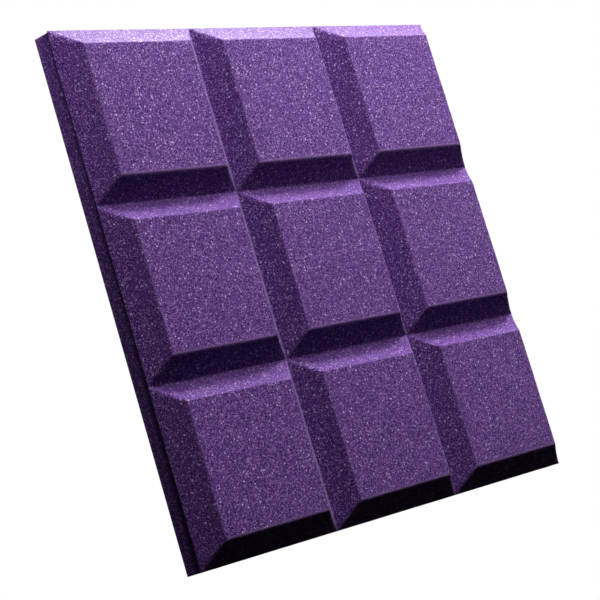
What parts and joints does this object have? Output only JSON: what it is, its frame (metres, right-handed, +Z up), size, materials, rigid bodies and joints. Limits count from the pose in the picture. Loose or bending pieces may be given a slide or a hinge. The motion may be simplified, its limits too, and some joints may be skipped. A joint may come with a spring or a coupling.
{
  "type": "acoustic foam panel",
  "caption": "Square sound-absorbing foam wall panel with a grid of raised bevelled blocks, held by adhesive pads on its back.",
  "frame": {"origin": "centre of the centre pad's glued face, which lies in the wall plane, at the middle of the panel's back", "axes": "+Z up the wall, +Y into the wall, so the blocks face -Y into the room; +X to the right as seen from the room"},
  "size_m": [0.6, 0.051, 0.6],
  "materials": {
    "foam": "matte",
    "adhesive_pad": "satin"
  },
  "bodies": {
    "root": {"foam_panel": "foam", "adhesive_pad_upper_left": "adhesive_pad", "adhesive_pad_upper_right": "adhesive_pad", "adhesive_pad_centre": "adhesive_pad", "adhesive_pad_lower_left": "adhesive_pad", "adhesive_pad_lower_right": "adhesive_pad"}
  },
  "joints": []
}
